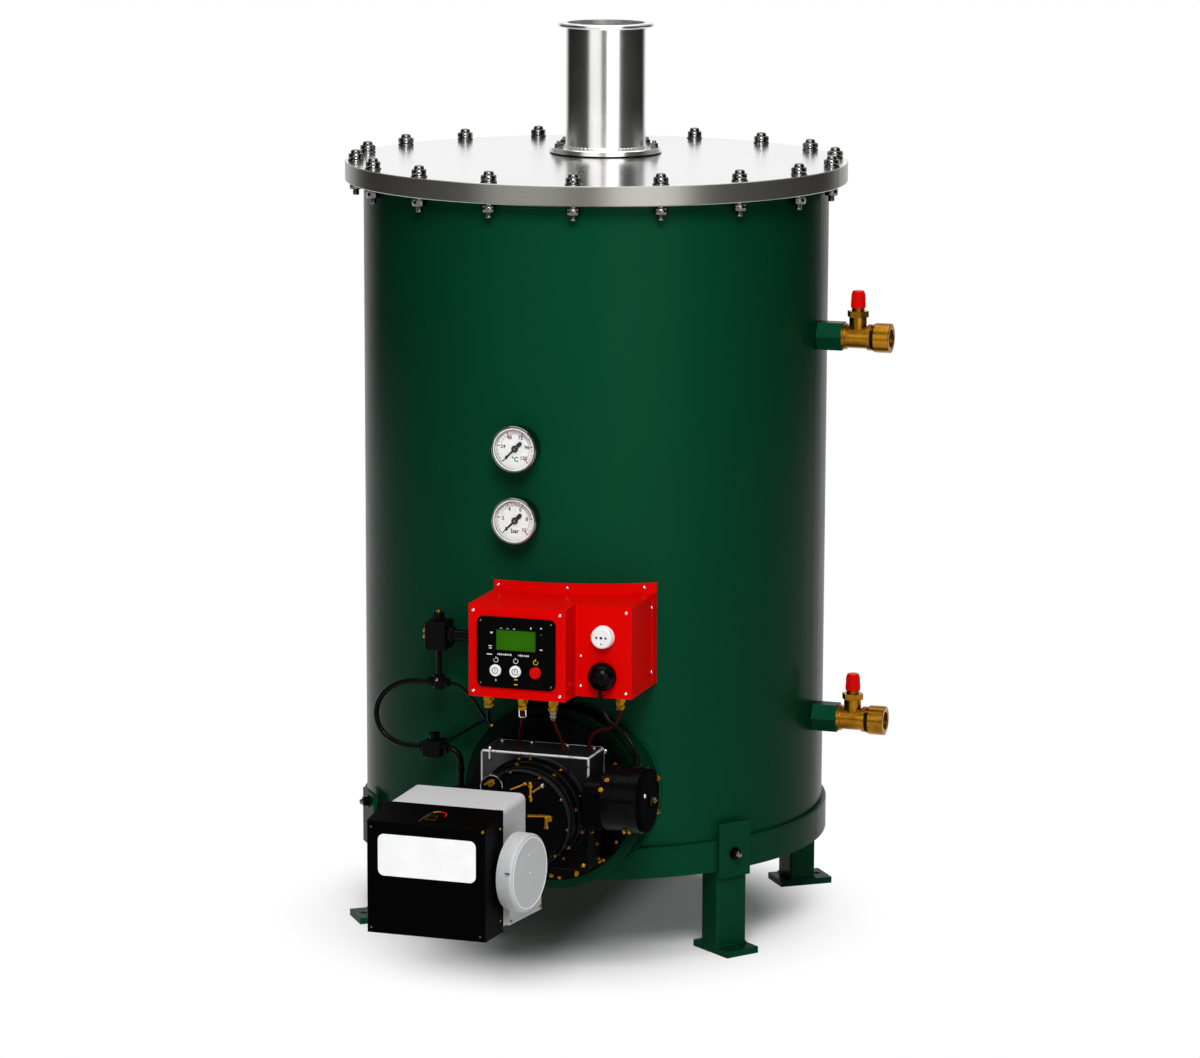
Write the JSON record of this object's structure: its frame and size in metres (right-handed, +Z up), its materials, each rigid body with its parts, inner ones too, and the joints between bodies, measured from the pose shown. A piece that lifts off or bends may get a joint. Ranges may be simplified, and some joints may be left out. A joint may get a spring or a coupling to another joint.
{
  "type": "storage water heater",
  "caption": "Upright fired storage water heater: round tank with a bolted lid, flue, forced-draught burner, control box, gauges and side valves, on legs.",
  "frame": {"origin": "on the floor under the tank's axis, at the centre of the anchor bolt rectangle", "axes": "+Z up the tank's axis, -Y towards the burner's front cover, +X towards the water valves"},
  "size_m": [1.0292, 1.389, 1.654],
  "materials": {
    "green_paint": "satin enamel",
    "lid_steel": "polished",
    "flue_steel": "polished",
    "smoke_steel": "sooted",
    "gauge_steel": "bright",
    "dial_white": "printed",
    "pointer_black": "matt",
    "gauge_glass": "clear",
    "red_paint": "gloss enamel",
    "panel_black": "gloss",
    "display_green": "lit",
    "button_white": "gloss",
    "button_red": "gloss",
    "dome_black": "gloss",
    "brass": "worn",
    "cast_grey": "cast",
    "cast_black": "black enamel",
    "housing_grey": "grey enamel",
    "cover_black": "satin",
    "fitting_black": "black",
    "hose_black": "satin",
    "lead_red": "satin"
  },
  "bodies": {
    "root": {"tank_shell": "green_paint", "tank_bottom": "green_paint", "base_band": "green_paint", "leg_front_right": "green_paint", "leg_back_right": "green_paint", "leg_back_left": "green_paint", "leg_front_left": "green_paint", "burner_neck": "green_paint", "pipe_sockets": "green_paint", "lid_plate": "lid_steel", "shell_flange": "lid_steel", "flue_pipe": "flue_steel", "flue_base_flange": "flue_steel", "smoke_tube": "smoke_steel", "gauge_cases": "gauge_steel", "gauge_dials": "dial_white", "gauge_pointers": "pointer_black", "gauge_glasses": "gauge_glass", "control_box": "red_paint", "control_panel": "panel_black", "display_screen": "display_green", "panel_buttons": "button_white", "signal_cap": "button_white", "stop_button": "button_red", "relief_caps": "button_red", "cable_dome": "dome_black", "cable_glands": "brass", "valve_tees": "brass", "tee_end_nuts": "brass", "relief_valves": "brass", "burner_mount_box": "cast_grey", "burner_head": "cast_black", "head_flange": "cast_black", "fan_case": "cast_black", "fan_motor": "cast_black", "motor_end_cover": "cast_black", "burner_housing": "housing_grey", "air_intake_box": "housing_grey", "air_intake_cover": "housing_grey", "burner_front_cover": "cover_black", "pressure_switch": "fitting_black", "switch_pipe": "fitting_black", "drop_pipe": "fitting_black", "fuel_valve": "fitting_black", "fuel_pipe": "fitting_black", "hose_loop": "hose_black", "sensor_lead": "hose_black", "motor_lead": "hose_black", "burner_leads": "lead_red"}
  },
  "joints": []
}
